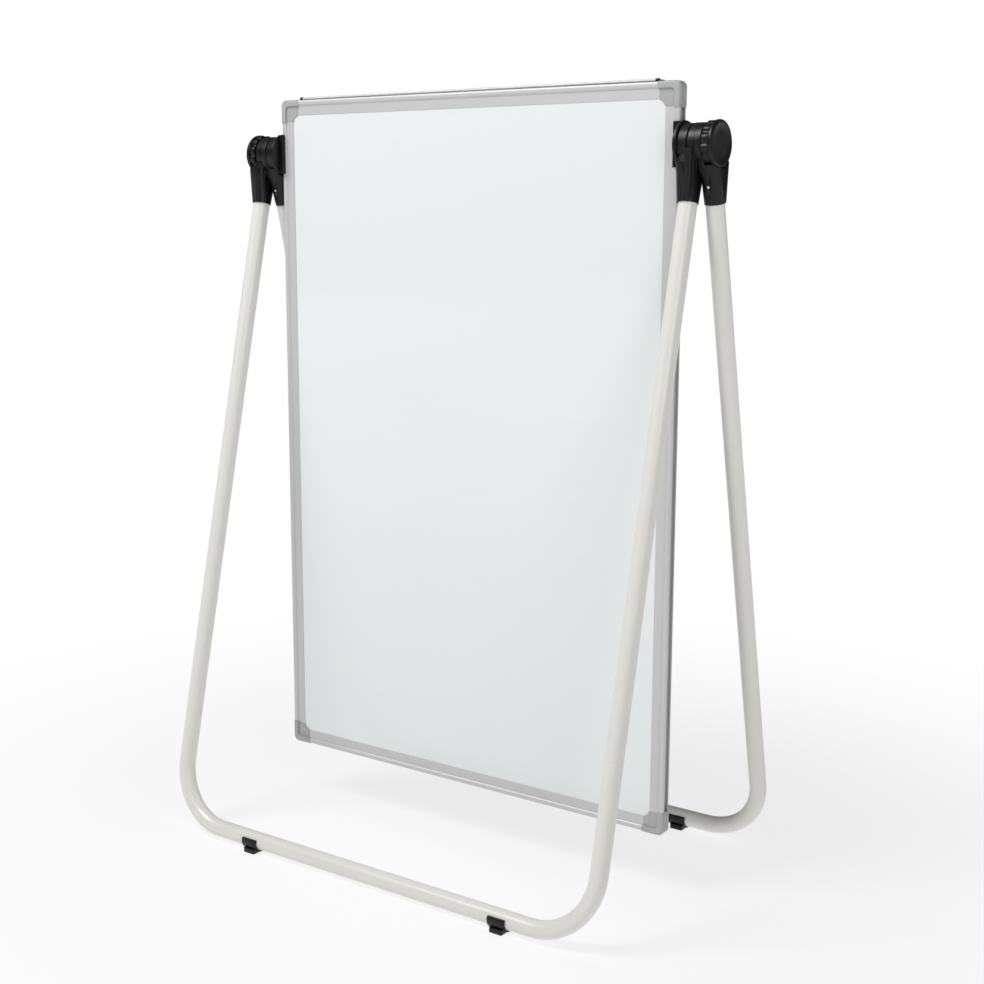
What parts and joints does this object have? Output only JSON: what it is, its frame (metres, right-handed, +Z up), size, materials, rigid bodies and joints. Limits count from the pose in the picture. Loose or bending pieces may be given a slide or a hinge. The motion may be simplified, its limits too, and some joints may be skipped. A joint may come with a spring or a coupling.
{
  "type": "whiteboard easel",
  "caption": "Portrait magnetic whiteboard in a slim metal frame, held at its sides in knob hubs on a folding stand of U-shaped tubes, so that it tilts, turns over and slides up.",
  "frame": {"origin": "on the floor under the middle of the open stand, below the pivot axis", "axes": "+Z up, +X along the board to the right as seen from its front, +Y away from the viewer"},
  "size_m": [0.7064, 0.4232, 0.9797],
  "materials": {
    "white_tube": "satin",
    "white_board": "gloss",
    "aluminium_rail": "satin",
    "grey_plastic": "satin",
    "black_plastic": "satin",
    "steel": "satin",
    "brass": "satin",
    "honeycomb_board": "matte"
  },
  "bodies": {
    "front_stand": {"front_leg_tube": "white_tube", "front_left_leg_socket": "black_plastic", "front_right_leg_socket": "black_plastic", "front_socket_screws": "steel", "front_left_foot_clip": "black_plastic", "front_right_foot_clip": "black_plastic"},
    "rear_stand": {"rear_leg_tube": "white_tube", "rear_left_leg_socket": "black_plastic", "rear_right_leg_socket": "black_plastic", "rear_socket_screws": "steel", "rear_left_foot_clip": "black_plastic", "rear_right_foot_clip": "black_plastic"},
    "board_clamps": {"left_rail_clamp": "black_plastic", "left_slide_nut": "steel", "left_clamp_bolt": "steel", "left_hub_washers": "steel", "right_rail_clamp": "black_plastic", "right_slide_nut": "steel", "right_clamp_bolt": "steel", "right_hub_washers": "steel"},
    "board": {"bottom_rail": "aluminium_rail", "corner_cap_screws": "steel", "flip_chart_strip": "aluminium_rail", "front_writing_sheet": "white_board", "height_stop_screws": "steel", "left_bottom_corner_cap": "grey_plastic", "left_rail": "aluminium_rail", "left_top_corner_cap": "grey_plastic", "panel_core": "honeycomb_board", "rear_writing_sheet": "white_board", "right_bottom_corner_cap": "grey_plastic", "right_rail": "aluminium_rail", "right_top_corner_cap": "grey_plastic", "strip_end_plugs": "black_plastic", "strip_screws": "steel", "top_rail": "aluminium_rail"},
    "left_knob": {"left_knob_grip": "black_plastic", "left_knob_insert": "brass", "left_knob_cover": "black_plastic"},
    "right_knob": {"right_knob_grip": "black_plastic", "right_knob_insert": "brass", "right_knob_cover": "black_plastic"}
  },
  "joints": [
    {"name": "stand_fold", "type": "hinge", "parent": "front_stand", "child": "rear_stand", "pos_m": [0, 0, 0.90527], "axis": [1, 0, 0], "range_deg": [-23.3, 0]},
    {"name": "board_tilt", "type": "hinge", "parent": "front_stand", "child": "board_clamps", "pos_m": [0, 0, 0.90527], "axis": [1, 0, 0], "continuous": true},
    {"name": "board_height", "type": "slide", "parent": "board_clamps", "child": "board", "axis": [0, 0, 1], "range_m": [-0.0115, 0.374]},
    {"name": "right_knob_turn", "type": "hinge", "parent": "board_clamps", "child": "right_knob", "pos_m": [0, 0, 0.90527], "axis": [1, 0, 0], "range_deg": [0, 360]},
    {"name": "left_knob_turn", "type": "hinge", "parent": "board_clamps", "child": "left_knob", "pos_m": [0, 0, 0.90527], "axis": [-1, 0, 0], "range_deg": [0, 360]}
  ]
}
